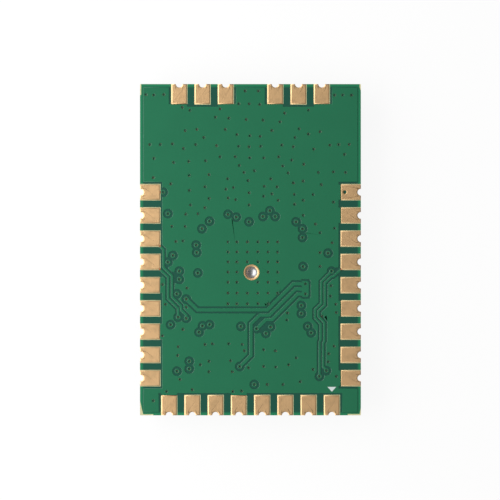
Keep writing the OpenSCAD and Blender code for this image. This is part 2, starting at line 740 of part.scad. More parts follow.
module front_end_plan(out) {
    at_places(front_end_places) {
        side_contacts(
            front_end[0], front_end_count, front_end_pitch, front_end_contact[0], front_end_contact[1], out
        );
        square(front_end_middle, center = true);
    }
}

module crystal_contact_plan(out) {
    size = crystal_contact + [out, out];
    at_places(crystal_places)
        for (x = [-1, 1], y = [-1, 1])
            translate([x * (crystal[0] / 2 + out - size[0] / 2), y * (crystal[1] / 2 + out - size[1] / 2)])
                square(size, center = true);
}

// Lands of the component side
module part_lands() {
    chip_contact_plan(toe);
    chip_thermal_plan();
    front_end_plan(0);
    crystal_contact_plan(0.1);
    at_places(inductor_places) end_lands(inductor);
    at_places(coil_places) end_lands(coil);
    at_places(capacitor_places) end_lands(capacitor);
    at_places(resistor_places) end_lands(resistor);
}

module filter_lands() {
    at_places(filter_places) end_lands(filter);
}

// Bare laminate around the lands
module part_windows() {
    translate(chip_at) difference() {
        square(chip_w + 2 * (toe + part_gap), center = true);
        square(thermal_w, center = true);
    }
    at_places(front_end_places) square(front_end[0] + 2 * part_gap, center = true);
    at_places(crystal_places) square([crystal[0] + 2 * part_gap, crystal[1] + 2 * part_gap], center = true);
    at_places(filter_places) end_window(filter);
    at_places(inductor_places) end_window(inductor);
    at_places(coil_places) end_window(coil);
    at_places(capacitor_places) end_window(capacitor);
    at_places(resistor_places) end_window(resistor);
}

// Antenna lines: from the edge pad to the filter, and from the filter to the front-end chip
module antenna_lines(grow) {
    reach = filter[0] / 2;
    filter_y = filter_places[0][0][1];
    front_end_top = front_end_places[0][0][1] + front_end[1] / 2 - line_w / 4;
    for (span = [[front_end_top - filter_y, -reach], [reach, board_l / 2 - filter_y]])
        at_places(filter_places) translate([span[0], -line_w / 2 - grow])
            square([span[1] - span[0], line_w + 2 * grow]);
}

// Ground copper of the component side with its windows
module component_pour() {
    difference() {
        pour_outline(0);
        part_windows();
        antenna_lines(line_gap);
        at_each(concat(signal_vias, island_vias)) circle(land_r + land_gap);
        at_places(all_pads) circle(edge_land_r + part_gap);
    }
}

module component_copper_plates(h) {
    linear_extrude(h) component_pour();
    linear_extrude(h) part_lands();
    linear_extrude(h) filter_lands();
    linear_extrude(h) antenna_lines(0);
    at_each(concat(signal_vias, island_vias)) cylinder(r = land_r, h = h);
}

module component_side_copper() {
    color("chocolate") on_component_side() translate([0, 0, -copper_t]) difference() {
        component_copper_plates(copper_t);
        translate([0, 0, -past]) linear_extrude(2 * past) {
            via_holes(via_drill_r);
            translate(centre_at) circle(centre_r + plating_t);
            notches(edge_land_r);
        }
    }
}

// Openings of the component side's mask
module component_mask_openings() {
    part_windows();
    chip_thermal_plan();
    frame_footprint(seam_w);
    notches(edge_land_r + mask_gap);
    via_holes(via_drill_r);
    translate(centre_at) circle(centre_r + plating_t);
}

module component_side_solder_mask() {
    color("seagreen") on_component_side() translate([0, 0, -copper_t]) difference() {
        linear_extrude(copper_t + mask_t) board_outline();
        component_copper_plates(copper_t);
        translate([0, 0, -past]) linear_extrude(2 * past) component_mask_openings();
    }
}

// ---- Shield can ----

// Footprint of the frame's feet, grown to both sides by a seam
module frame_footprint(grow) {
    difference() {
        square([frame_w + 2 * grow, frame_l + 2 * grow], center = true);
        square([frame_w - 2 * (sheet_t + grow), frame_l - 2 * (sheet_t + grow)], center = true);
        for (x = [-1, 1], y = [-1, 1])
            translate([x * frame_w / 2, y * frame_l / 2]) square(2 * corner_gap, center = true);
        for (x = [-antenna_x, antenna_x])
            translate([x, frame_l / 2]) square([tunnel_w, 2 * past], center = true);
    }
}

// Block at each of the four corners of a rectangle
module corner_blocks(w, l, size, z, h) {
    for (x = [-1, 1], y = [-1, 1])
        translate([x * w / 2 - size, y * l / 2 - size, z]) cube([2 * size, 2 * size, h]);
}

// Openings in the frame's far wall for the antenna lines
module antenna_tunnels(h) {
    for (x = [-antenna_x, antenna_x]) translate([x - tunnel_w / 2, frame_l / 2 - past, -past])
        cube([tunnel_w, 2 * past, past + h]);
}

// Bars through the walls at each lock between cover and frame, from one depth to another outside the frame
module locks(r, from, to) {
    for (side = [-1, 1]) {
        for (y = [-lock_y, lock_y])
            translate([side * (frame_w / 2 + from), y, lock_z]) rotate([0, side * 90, 0])
                cylinder(r = r, h = to - from);
        translate([0, side * (frame_l / 2 + from), lock_z]) rotate([-side * 90, 0, 0])
            cylinder(r = r, h = to - from);
    }
}

// Folded frame: four walls, an inner flange with two bridges, relieved corners
module shield_frame() {
    top = shield_h - sheet_t;
    inner_w = frame_w - 2 * sheet_t;
    inner_l = frame_l - 2 * sheet_t;
    cell_w = inner_w - 2 * flange_w;
    cell_l = (inner_l - 2 * flange_w - 2 * bridge_w) / 3;
    color("lightgray") on_component_side() difference() {
        translate([0, 0, solder_t]) pan(frame_w, frame_l, top - solder_t, bend_r - sheet_t);
        translate([-inner_w / 2, -inner_l / 2, -past]) cube([inner_w, inner_l, past + top - sheet_t]);
        for (i = [-1:1])
            translate([-cell_w / 2, i * (cell_l + bridge_w) - cell_l / 2, 0]) cube([cell_w, cell_l, 2 * top]);
        corner_blocks(frame_w, frame_l, corner_gap, -past, past + top - corner_gap);
        antenna_tunnels(tunnel_h);
        locks(lock_r + lock_play, -2 * sheet_t, sheet_t);
    }
}

// Solder seam under the frame's feet
module shield_frame_solder() {
    color("silver") on_component_side() linear_extrude(solder_t) frame_footprint(seam_w);
}

// Side view of a folded pan with rounded upper bends
bend_steps = 6;
function arc(middle, r, from) =
    [for (i = [0:bend_steps]) let (a = from + 90 * i / bend_steps) middle + r * [cos(a), sin(a)]];
module pan_profile(w, h, r) {
    bends = concat(arc([w / 2 - r, h - r], r, 0), arc([r - w / 2, h - r], r, 90));
    polygon(concat([[-w / 2, 0], [w / 2, 0]], bends));
}

module pan(w, l, h, r) {
    intersection() {
        rotate([90, 0, 0]) translate([0, 0, -l]) linear_extrude(2 * l) pan_profile(w, h, r);
        rotate([90, 0, 90]) translate([0, 0, -w]) linear_extrude(2 * w) pan_profile(l, h, r);
    }
}

// Cover pressed over the frame: plate, skirt and the bumps that snap into the frame
module shield_cover() {
    inner_w = shield_w - 2 * sheet_t;
    inner_l = shield_l - 2 * sheet_t;
    color("silver") on_component_side() difference() {
        union() {
            difference() {
                translate([0, 0, shield_h - skirt_h]) pan(shield_w, shield_l, skirt_h, bend_r);
                translate([0, 0, shield_h - skirt_h - past])
                    pan(inner_w, inner_l, skirt_h + past - sheet_t, bend_r - sheet_t);
                corner_blocks(shield_w, shield_l, 0.5 * bend_r + sheet_t, 0, shield_h - bend_r);
            }
            locks(lock_r, -0.7 * sheet_t, cover_gap + 0.5 * sheet_t);
        }
        locks(0.7 * lock_r, cover_gap + 0.4 * sheet_t, cover_gap + 2 * sheet_t);
    }
}

// ---- Parts under the shield ----

module wifi_chip_body() {
    color("dimgray") on_component_side() translate([0, 0, solder_t]) difference() {
        translate([chip_at[0] - chip_w / 2, chip_at[1] - chip_w / 2, 0]) cube([chip_w, chip_w, chip_h]);
        translate([0, 0, -past]) linear_extrude(past + contact_t) {
            chip_contact_plan(0);
            chip_thermal_plan();
        }
    }
}

module wifi_chip_contacts() {
    color("silver") on_component_side() translate([0, 0, solder_t]) linear_extrude(contact_t)
        chip_contact_plan(0);
}

module wifi_chip_thermal_pad() {
    color("silver") on_component_side() translate([0, 0, solder_t]) linear_extrude(contact_t)
        chip_thermal_plan();
}

module crystal_base() {
    color("dimgray") on_component_side() at_places(crystal_places)
        translate([-crystal[0] / 2, -crystal[1] / 2, solder_t + pad_foot_t])
            cube([crystal[0], crystal[1], base_share * crystal[2]]);
}

module crystal_contacts() {
    color("gold") on_component_side() translate([0, 0, solder_t]) linear_extrude(pad_foot_t)
        crystal_contact_plan(0);
}

module crystal_lid() {
    color("silver") on_component_side() at_places(crystal_places)
        translate([0, 0, solder_t + pad_foot_t + base_share * crystal[2]])
            linear_extrude((1 - base_share) * crystal[2])
                square([crystal[0] - 2 * lid_rim, crystal[1] - 2 * lid_rim], center = true);
}

module front_end_bodies() {
    color("dimgray") on_component_side() at_places(front_end_places)
        translate([-front_end[0] / 2, -front_end[1] / 2, solder_t + pad_foot_t]) cube(front_end);
}

module front_end_contacts() {
    color("gold") on_component_side() translate([0, 0, solder_t]) linear_extrude(pad_foot_t)
        front_end_plan(0);
}

module antenna_filter_bodies() {
    color("whitesmoke") on_component_side() at_places(filter_places) end_body(filter);
}

module antenna_filter_terminals() {
    color("silver") on_component_side() at_places(filter_places) end_terminals(filter);
}

module power_inductor_bodies() {
    color("dimgray") on_component_side() at_places(inductor_places) end_body(inductor);
}

module power_inductor_terminals() {
    color("silver") on_component_side() at_places(inductor_places) end_terminals(inductor);
}

module radio_coil_bodies() {
    color("steelblue") on_component_side() at_places(coil_places) end_body(coil);
}

module radio_coil_terminals() {
    color("silver") on_component_side() at_places(coil_places) end_terminals(coil);
}

module capacitor_bodies() {
    color("tan") on_component_side() at_places(capacitor_places) end_body(capacitor);
}

module capacitor_terminals() {
    color("silver") on_component_side() at_places(capacitor_places) end_terminals(capacitor);
}

module resistor_bodies() {
    color("black") on_component_side() at_places(resistor_places) end_body(resistor);
}

module resistor_terminals() {
    color("silver") on_component_side() at_places(resistor_places) end_terminals(resistor);
}

// Solder under every contact and terminal
module solder_joints() {
    color("silver") on_component_side() {
        linear_extrude(solder_t) difference() {
            union() {
                chip_contact_plan(toe);
                chip_thermal_plan();
                front_end_plan(0);
                crystal_contact_plan(0);
            }
            translate(centre_at) circle(centre_open_r);
        }
        at_places(filter_places) end_solder(filter);
        at_places(inductor_places) end_solder(inductor);
        at_places(coil_places) end_solder(coil);
        at_places(capacitor_places) end_solder(capacitor);
        at_places(resistor_places) end_solder(resistor);
    }
}

board_core();
ground_copper();
signal_traces();
via_lands();
left_edge_pads();
right_edge_pads();
bottom_edge_pads();
left_antenna_pads();
right_antenna_pads();
via_barrels();
centre_hole_barrel();
centre_solder_plug();
pad_side_solder_mask();
pin_one_mark();
component_side_copper();
component_side_solder_mask();
shield_frame();
shield_frame_solder();
shield_cover();
wifi_chip_body();
wifi_chip_contacts();
wifi_chip_thermal_pad();
crystal_base();
crystal_contacts();
crystal_lid();
front_end_bodies();
front_end_contacts();
antenna_filter_bodies();
antenna_filter_terminals();
power_inductor_bodies();
power_inductor_terminals();
radio_coil_bodies();
radio_coil_terminals();
capacitor_bodies();
capacitor_terminals();
resistor_bodies();
resistor_terminals();
solder_joints();
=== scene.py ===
"""Finish and stage of a castellated radio module that lies pads up on its shield can."""

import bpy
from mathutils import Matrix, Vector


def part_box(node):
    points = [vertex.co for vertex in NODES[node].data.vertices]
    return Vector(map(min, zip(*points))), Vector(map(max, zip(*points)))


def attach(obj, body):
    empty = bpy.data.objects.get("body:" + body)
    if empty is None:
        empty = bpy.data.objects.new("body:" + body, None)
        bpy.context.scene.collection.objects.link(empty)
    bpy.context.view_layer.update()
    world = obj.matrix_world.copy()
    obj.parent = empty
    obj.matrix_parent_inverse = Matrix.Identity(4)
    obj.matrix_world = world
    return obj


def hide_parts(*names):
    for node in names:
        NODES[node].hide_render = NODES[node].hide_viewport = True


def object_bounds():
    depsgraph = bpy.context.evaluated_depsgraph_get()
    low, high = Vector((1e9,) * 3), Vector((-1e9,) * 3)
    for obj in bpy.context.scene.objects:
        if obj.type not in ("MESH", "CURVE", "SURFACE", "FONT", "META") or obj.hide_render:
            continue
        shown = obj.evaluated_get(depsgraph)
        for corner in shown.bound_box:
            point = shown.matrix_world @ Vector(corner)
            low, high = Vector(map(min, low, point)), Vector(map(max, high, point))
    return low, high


bl_info = {
    "name": "Radio Module Finish",
    "version": (1, 0, 0),
    "blender": (4, 5, 0),
    "location": "View3D > Sidebar > Module",
    "description": "Solder mask, gold pads, shield can and stage of a castellated radio module",
    "category": "Object",
}

import math

import bmesh
import bpy
from bpy.props import FloatProperty, FloatVectorProperty, IntProperty, PointerProperty
from mathutils import Matrix, Vector

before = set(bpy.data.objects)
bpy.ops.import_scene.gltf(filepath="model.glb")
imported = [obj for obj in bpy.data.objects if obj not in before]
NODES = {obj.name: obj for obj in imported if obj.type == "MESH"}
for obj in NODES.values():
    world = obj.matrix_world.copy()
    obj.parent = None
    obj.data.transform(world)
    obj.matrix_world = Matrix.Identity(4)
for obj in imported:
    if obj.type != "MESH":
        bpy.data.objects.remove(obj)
CAD_BOX = [list(corner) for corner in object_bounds()]

MM = 0.001
WELD = 0.0005 * MM
CORE_LOW, CORE_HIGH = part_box("board_core")
MASK_LOW, MASK_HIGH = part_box("pad_side_solder_mask")
PAD_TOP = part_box("left_edge_pads")[1].z
COVER_LOW, COVER_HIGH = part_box("shield_cover")

EDGE_PADS = (
    "left_edge_pads",
    "right_edge_pads",
    "bottom_edge_pads",
    "left_antenna_pads",
    "right_antenna_pads",
)
TWO_ENDED = ("antenna_filter", "power_inductor", "radio_coil", "capacitor", "resistor")

# Distances from the board's edge at which the mask's painted glow, standing in for light that leaks in through
# the laminate, starts and is at its brightest.
EDGE_BAND = 0.36 * MM
EDGE_FULL = 0.1 * MM

# Rings of a rounded rim from the outermost inward, as shares of the whole drop.
MASK_RINGS = (1.0, 0.5)
PAD_RINGS = (1.0, 0.45, 0.12)
HOLE_RINGS = (1.0, 0.5, 0.15)

# Rings of a via's dimple from its rim inward, as shares of its radius and of its depth.
DIMPLE_RINGS = ((0.12, 0.12), (0.2, 0.36), (0.26, 0.34), (0.22, 0.18))


def srgb(red, green, blue):
    """Linear colour of a colour given as 0 to 255."""
    parts = [value / 255 for value in (red, green, blue)]
    return tuple(c / 12.92 if c <= 0.04045 else ((c + 0.055) / 1.055) ** 2.4 for c in parts)


# ---------------------------------------------------------------------------
# Sizes and colours that a user may change
# ---------------------------------------------------------------------------


def length(name, description, millimetres):
    """A length property with its default given in millimetres."""
    return FloatProperty(
        name=name, description=description, default=millimetres * MM, min=0, precision=6, unit="LENGTH"
    )


def colour(name, description, red, green, blue):
    """A colour property with its default given as 0 to 255."""
    return FloatVectorProperty(
        name=name, description=description, default=srgb(red, green, blue), min=0, max=1, subtype="COLOR"
    )


class ModuleSizes(bpy.types.PropertyGroup):
    """Sizes of the finish, on top of the board's own construction."""

    mask_slope: length("Mask slope", "Width of the slope where the mask runs down over a copper edge", 0.046)
    mask_lip: length("Mask lip", "Drop of the mask's rim around an opening", 0.008)
    pad_slope: length("Pad slope", "Width of the rounded rim of a gold pad", 0.1)
    pad_drop: length("Pad drop", "Height of the rounded rim of a gold pad", 0.038)
    ring_slope: length("Ring slope", "Width of the rounded rim of the centre hole's ring", 0.12)
    via_radius: length("Via radius", "Radius of the dimple that the mask leaves over a via", 0.128)
    via_depth: length("Via depth", "Depth of the dimple that the mask leaves over a via", 0.09)
    via_sides: IntProperty(
        name="Via sides", description="Sides of a via's dimple seen from above", default=16, min=8, max=24
    )
    sheet_edge: length("Sheet edge", "Width of the rounding along cut sheet metal", 0.02)


class ModuleColours(bpy.types.PropertyGroup):
    """Colours of the finishes, as they look in plain light."""

    mask_on_copper: colour("Mask on copper", "Solder mask over copper", 22, 112, 76)
    mask_on_laminate: colour("Mask on laminate", "Solder mask over bare laminate", 10, 82, 64)
    # Painted glow: light that leaks in through the laminate's cut edge, painted into the mask's colour near the
    # edge.
    mask_edge_glow: colour("Mask at the edge", "Solder mask where light leaks in at the board's edge", 20, 128, 84)
    gold: colour("Gold", "Gold plating of pads and notches", 255, 211, 156)
    laminate: colour("Laminate", "Glass and resin of the bare board", 222, 218, 168)
    copper: colour("Copper", "Bare copper", 205, 126, 92)
    solder: colour("Solder", "Solder and tinned contacts", 205, 206, 208)
    steel: colour("Steel", "Tinned sheet steel of the shield", 196, 197, 194)
    ink: colour("Ink", "White printed ink", 226, 238, 236)
    resin: colour("Resin", "Black moulded resin", 34, 34, 36)
    dark_ceramic: colour("Dark ceramic", "Dark ceramic and ferrite", 52, 50, 50)
    white_ceramic: colour("White ceramic", "White ceramic", 226, 224, 216)
    tan_ceramic: colour("Tan ceramic", "Tan ceramic of the capacitors", 168, 136, 98)
    blue_ceramic: colour("Blue ceramic", "Blue glass and ceramic of the coils", 92, 116, 148)


class ModuleStage(bpy.types.PropertyGroup):
    """Camera and light."""

    camera_height: length("Camera height", "Height of the camera above the pads", 250)
    view_width: length("View width", "Width that the camera sees at the pads", 43.014)
    camera_x: FloatProperty(
        name="Camera X", description="Place of the camera across the board", default=-0.0387 * MM, unit="LENGTH"
    )
    camera_y: FloatProperty(
        name="Camera Y", description="Place of the camera along the board", default=-0.0258 * MM, unit="LENGTH"
    )
    side_light: FloatProperty(name="Side light", description="Power of the large side light", default=0.05, min=0)
    room_light: FloatProperty(name="Room light", description="Strength of the room's light", default=0.55, min=0)


# ---------------------------------------------------------------------------
# Materials
# ---------------------------------------------------------------------------


class Value:
    """One socket of a material, on which plain arithmetic adds the Math nodes."""

    def __init__(self, paint, socket):
        self.paint = paint
        self.socket = socket

    def math(self, operation, *others):
        """A Math node with this value first and the others after it."""
        inputs = {index: value for index, value in enumerate((self, *others))}
        return self.paint.node("ShaderNodeMath", {"operation": operation}, inputs)

    def __add__(self, other):
        return self.math("ADD", other)

    def __sub__(self, other):
        return self.math("SUBTRACT", other)

    def __mul__(self, other):
        return self.math("MULTIPLY", other)

    def __truediv__(self, other):
        return self.math("DIVIDE", other)

    def __pow__(self, other):
        return self.math("POWER", other)

    def __neg__(self):
        return self.math("MULTIPLY", -1)

    def __abs__(self):
        return self.math("ABSOLUTE")

    def __rsub__(self, other):
        return (-self).math("ADD", other)

    __radd__ = __add__
    __rmul__ = __mul__


class Paint:
    """A material under construction."""

    def __init__(self, name):
        self.material = bpy.data.materials.new(name)
        self.material.use_nodes = True
        self.tree = self.material.node_tree
        self.surface = self.tree.nodes["Principled BSDF"]

    def node(self, kind, settings=None, inputs=None, output=0):
        """Adds a node, its settings first and then the values or links of its sockets."""
        made = self.tree.nodes.new(kind)
        for setting, value in (settings or {}).items():
            setattr(made, setting, value)
        for socket, value in (inputs or {}).items():
            self.feed(made.inputs[socket], value)
        return Value(self, made.outputs[output])

    def feed(self, socket, value):
        """Links a value of the tree to a socket, or sets a plain value on it."""
        if isinstance(value, Value):
            self.tree.links.new(value.socket, socket)
        elif socket.type == "RGBA" and len(value) == 3:
            socket.default_value = (*value, 1)
        else:
            socket.default_value = value

    def place(self):
        """Object coordinates of the surface."""
        return self.node("ShaderNodeTexCoord", output="Object")

    def axes(self):
        """The three object coordinates as numbers, in metres."""
        split = self.node("ShaderNodeSeparateXYZ", inputs={"Vector": self.place()}).socket.node
        return [Value(self, split.outputs[axis]) for axis in "XYZ"]

    def step(self, value, start, end, kind="SMOOTHSTEP"):
        """0 before start, 1 after end and an even change between them."""
        return self.node(
            "ShaderNodeMapRange",
            {"interpolation_type": kind},
            {"Value": value, "From Min": start, "From Max": end},
        )

    def noise(self, size, detail=3.0, stretch=(1, 1, 1), roughness=0.5):
        """Soft noise from 0 to 1 with grains of the given size in metres."""
        grid = self.node("ShaderNodeMapping", inputs={"Vector": self.place(), "Scale": stretch})
        return self.node(
            "ShaderNodeTexNoise",
            {"normalize": True},
            {"Vector": grid, "Scale": 1 / size, "Detail": detail, "Roughness": roughness},
        )

    def cells(self, size, feature="F1", stretch=(1, 1, 1)):
        """Distance pattern of scattered grains of the given size in metres."""
        grid = self.node("ShaderNodeMapping", inputs={"Vector": self.place(), "Scale": stretch})
        return self.node("ShaderNodeTexVoronoi", {"feature": feature}, {"Vector": grid, "Scale": 1 / size})

    def mix(self, share, first, second):
        """Blend of two colours."""
        return self.node("ShaderNodeMix", {"data_type": "RGBA"}, {0: share, 6: first, 7: second}, output=2)

    def bump(self, height, depth, strength=1.0, normal=None):
        """Normal of a surface whose relief is depth metres high."""
        inputs = {"Height": height, "Distance": depth, "Strength": strength}
        if normal is not None:
            inputs["Normal"] = normal
        return self.node("ShaderNodeBump", inputs=inputs)

    def finish(self, **sockets):
        """Sets the surface's sockets, named with underscores, and returns the material."""
        for name, value in sockets.items():
            self.feed(self.surface.inputs[name.replace("_", " ")], value)
        return self.material


def shaded(tint, factor):
    """A colour made lighter or darker."""
    return tuple(min(1.0, part * factor) for part in tint)


def mask_green(tints):
    """Glossy green solder mask: lighter over copper, darker over laminate, with a painted glow at the board's
    edge for light that leaks in through the laminate.
    """
    paint = Paint("green_mask")
    x, y, z = paint.axes()
    over_copper = paint.step(z, MASK_LOW.z + 0.028 * MM, MASK_HIGH.z - 0.006 * MM)
    # Painted glow: the mask turns lighter towards the board's edge, where light leaks in through the laminate.
    to_side = paint.step(abs(x), CORE_HIGH.x - EDGE_BAND, CORE_HIGH.x - EDGE_FULL)
    to_end = paint.step(abs(y), CORE_HIGH.y - EDGE_BAND, CORE_HIGH.y - EDGE_FULL)
    edge_glow_share = to_side.math("MAXIMUM", to_end)
    cloud = paint.noise(2.6 * MM, 3.0)
    grain = paint.noise(0.09 * MM, 2.0)
    on_laminate = paint.mix(edge_glow_share, tuple(tints.mask_on_laminate), tuple(tints.mask_edge_glow))
    green = paint.mix(over_copper, on_laminate, tuple(tints.mask_on_copper))
    shade = 0.9 + 0.12 * cloud + 0.08 * grain
    green = paint.node("ShaderNodeVectorMath", {"operation": "SCALE"}, {0: green, "Scale": shade})
    peel = paint.noise(0.34 * MM, 2.0) * 0.7 + grain * 0.12
    return paint.finish(
        Base_Color=green,
        Roughness=0.2 + 0.08 * grain,
        Specular_IOR_Level=0.5,
        IOR=1.5,
        Normal=paint.bump(peel, 0.004 * MM),
    )


def gold_plating(tints):
    """Matt gold over nickel, with the fine grain of etched copper under it."""
    paint = Paint("gold_plating")
    cloud = paint.noise(0.7 * MM, 3.0)
    grain = paint.noise(0.045 * MM, 3.0)
    scratch = paint.noise(0.05 * MM, 2.0, stretch=(1, 0.16, 1))
    stain = paint.step(cloud * 0.75 + grain * 0.25, 0.42, 0.66)
    tint = paint.mix(stain, shaded(tints.gold, 1.0), shaded(tints.gold, 0.86))
    relief = grain * 0.6 + scratch * 0.5 + cloud * 0.4
    return paint.finish(
        Base_Color=tint,
        Metallic=1.0,
        Roughness=0.36 + 0.12 * grain,
        Normal=paint.bump(relief, 0.006 * MM),
    )


def bare_laminate(tints):
    """Glass cloth in resin, with its layers along the cut edge and frayed fibres."""
    paint = Paint("laminate")
    layer = paint.noise(0.16 * MM, 2.0, stretch=(0.12, 0.12, 1))
    fibre = paint.noise(0.035 * MM, 3.0, stretch=(0.5, 0.5, 1.6))
    cloud = paint.noise(1.1 * MM, 2.0)
    tint = paint.mix(paint.step(layer, 0.35, 0.65), shaded(tints.laminate, 0.72), tuple(tints.laminate))
    tint = paint.mix(paint.step(fibre * 0.7 + cloud * 0.3, 0.4, 0.62), tint, shaded(tints.laminate, 1.12))
    return paint.finish(
        Base_Color=tint,
        Roughness=0.55 + 0.2 * fibre,
        Normal=paint.bump(fibre * 0.6 + layer * 0.5, 0.012 * MM),
    )


def bare_copper(tints):
    """Etched copper."""
    paint = Paint("bare_copper")
    grain = paint.noise(0.05 * MM, 3.0)
    cloud = paint.noise(0.8 * MM, 2.0)
    tint = paint.mix(cloud, shaded(tints.copper, 0.75), tuple(tints.copper))
    return paint.finish(
        Base_Color=tint,
        Metallic=1.0,
        Roughness=0.34 + 0.2 * grain,
        Normal=paint.bump(grain, 0.004 * MM),
    )


def bright_solder(tints, name="solder"):
    """Solder, smooth but for fine crystals."""
    paint = Paint(name)
    crystal = paint.cells(0.09 * MM)
    cloud = paint.noise(0.4 * MM, 2.0)
    tint = paint.mix(cloud, shaded(tints.solder, 0.74), tuple(tints.solder))
    return paint.finish(
        Base_Color=tint,
        Metallic=1.0,
        Roughness=0.26 + 0.16 * crystal,
        Normal=paint.bump(crystal * 0.5 + cloud * 0.5, 0.01 * MM),
    )


def shield_steel(tints):
    """Tinned sheet steel with rolling marks along the board and a few handling smudges."""
    paint = Paint("shield_metal")
    rolling = paint.noise(0.03 * MM, 3.0, stretch=(1, 0.02, 1))
    smudge = paint.noise(3.2 * MM, 4.0)
    spots = paint.step(paint.cells(0.7 * MM), 0.0, 0.09)
    tint = paint.mix(paint.step(smudge, 0.35, 0.7), shaded(tints.steel, 0.84), tuple(tints.steel))
    return paint.finish(
        Base_Color=tint,
        Metallic=1.0,
        Roughness=0.24 + 0.1 * rolling + 0.12 * smudge,
        Normal=paint.bump(rolling * 0.5 + spots * 0.2, 0.003 * MM),
    )


def white_ink(tints):
    """Printed ink with a slightly grainy face."""
    paint = Paint("white_ink")
    grain = paint.noise(0.04 * MM, 3.0)
    tint = paint.mix(grain, shaded(tints.ink, 0.82), tuple(tints.ink))
    return paint.finish(Base_Color=tint, Roughness=0.5 + 0.2 * grain, Normal=paint.bump(grain, 0.004 * MM))


def moulded_resin(tints):
    """Black moulding compound with a fine matt face."""
    paint = Paint("chip_resin")
    grain = paint.noise(0.03 * MM, 3.0)
    cloud = paint.noise(0.9 * MM, 2.0)
    tint = paint.mix(cloud * 0.6 + grain * 0.4, shaded(tints.resin, 0.7), shaded(tints.resin, 1.35))
    return paint.finish(Base_Color=tint, Roughness=0.5 + 0.2 * grain, Normal=paint.bump(grain, 0.004 * MM))


def ceramic(name, tint, gloss):
    """Fired ceramic with fine speckles."""
    paint = Paint(name)
    speckle = paint.cells(0.05 * MM)
    cloud = paint.noise(0.5 * MM, 2.0)
    shade = paint.mix(speckle * 0.6 + cloud * 0.4, shaded(tint, 0.8), shaded(tint, 1.1))
    return paint.finish(
        Base_Color=shade, Roughness=gloss + 0.15 * speckle, Normal=paint.bump(speckle, 0.002 * MM)
    )


def finishes(tints):
    """Every material slot of the record with its finish."""
    return {
        "green_mask": mask_green(tints),
        "gold_plating": gold_plating(tints),
        "laminate": bare_laminate(tints),
        "bare_copper": bare_copper(tints),
        "solder": bright_solder(tints),
        "tinned_contact": bright_solder(tints, "tinned_contact"),
        "shield_metal": shield_steel(tints),
        "white_ink": white_ink(tints),
        "chip_resin": moulded_resin(tints),
        "dark_ceramic": ceramic("dark_ceramic", tuple(tints.dark_ceramic), 0.4),
        "white_ceramic": ceramic("white_ceramic", tuple(tints.white_ceramic), 0.35),
        "tan_ceramic": ceramic("tan_ceramic", tuple(tints.tan_ceramic), 0.45),
        "blue_ceramic": ceramic("blue_ceramic", tuple(tints.blue_ceramic), 0.3),
    }


FINISHES = {}


def finish_of(slot):
    """The material of one slot, all of them being made on the first call."""
    if not FINISHES:
        FINISHES.update(finishes(bpy.context.scene.module_colours))
    return FINISHES[slot]


# ---------------------------------------------------------------------------
# Modelling
# ---------------------------------------------------------------------------


def activate(piece):
    """Makes one piece the only selected and the active one."""
    bpy.ops.object.select_all(action="DESELECT")
    piece.select_set(True)
    bpy.context.view_layer.objects.active = piece


def merged_copy(node, name):
    """New piece with a CAD node's shape, its triangles joined into plain faces."""
    mesh = NODES[node].data.copy()
    mesh.name = name
    mesh.materials.clear()
    piece = bpy.data.objects.new(name, mesh)
    bpy.context.scene.collection.objects.link(piece)
    activate(piece)
    bpy.ops.object.mode_set(mode="EDIT")
    bpy.ops.mesh.select_all(action="SELECT")
    bpy.ops.mesh.remove_doubles(threshold=WELD)
    bpy.ops.mesh.customdata_custom_splitnormals_clear()
    bpy.ops.mesh.dissolve_limited(angle_limit=math.radians(1))
    return piece


def select_faces(piece, wanted):
    """In edit mode, selects the faces that the test wants."""
    bpy.ops.mesh.select_mode(type="FACE")
    bpy.ops.mesh.select_all(action="DESELECT")
    work = bmesh.from_edit_mesh(piece.data)
    for face in work.faces:
        face.select_set(wanted(face))
    bmesh.update_edit_mesh(piece.data)


def rim_of_selection(piece, level):
    """In edit mode, the index of each point at a level that no selected face uses."""
    work = bmesh.from_edit_mesh(piece.data)
    at_level = [point for point in work.verts if abs(point.co.z - level) < WELD]
    return [point.index for point in at_level if not any(face.select for face in point.link_faces)]


def foot_under(point):
    """Height of the lower end of the wall edge that goes straight down from a point, or None."""
    for edge in point.link_edges:
        other = edge.other_vert(point)
        if (other.co - point.co).xy.length < WELD and other.co.z < point.co.z - WELD:
            return other.co.z
    return None


def lower(piece, points, drop):
    """In edit mode, moves points straight down and keeps the face selection."""
    work = bmesh.from_edit_mesh(piece.data)
    work.verts.ensure_lookup_table()
    kept = [face.index for face in work.faces if face.select]
    bpy.ops.mesh.select_mode(type="VERT")
    bpy.ops.mesh.select_all(action="DESELECT")
    work = bmesh.from_edit_mesh(piece.data)
    work.verts.ensure_lookup_table()
    for index in points:
        work.verts[index].select_set(True)
    bmesh.update_edit_mesh(piece.data)
    bpy.ops.transform.translate(value=(0, 0, -drop))
    bpy.ops.mesh.select_mode(type="FACE")
    bpy.ops.mesh.select_all(action="DESELECT")
    work = bmesh.from_edit_mesh(piece.data)
    work.faces.ensure_lookup_table()
    for index in kept:
        work.faces[index].select_set(True)
    bmesh.update_edit_mesh(piece.data)


def inset(width):
    """In edit mode, insets the selected faces as one region."""
    bpy.ops.mesh.inset(thickness=width, depth=0, use_boundary=True, use_even_offset=True)


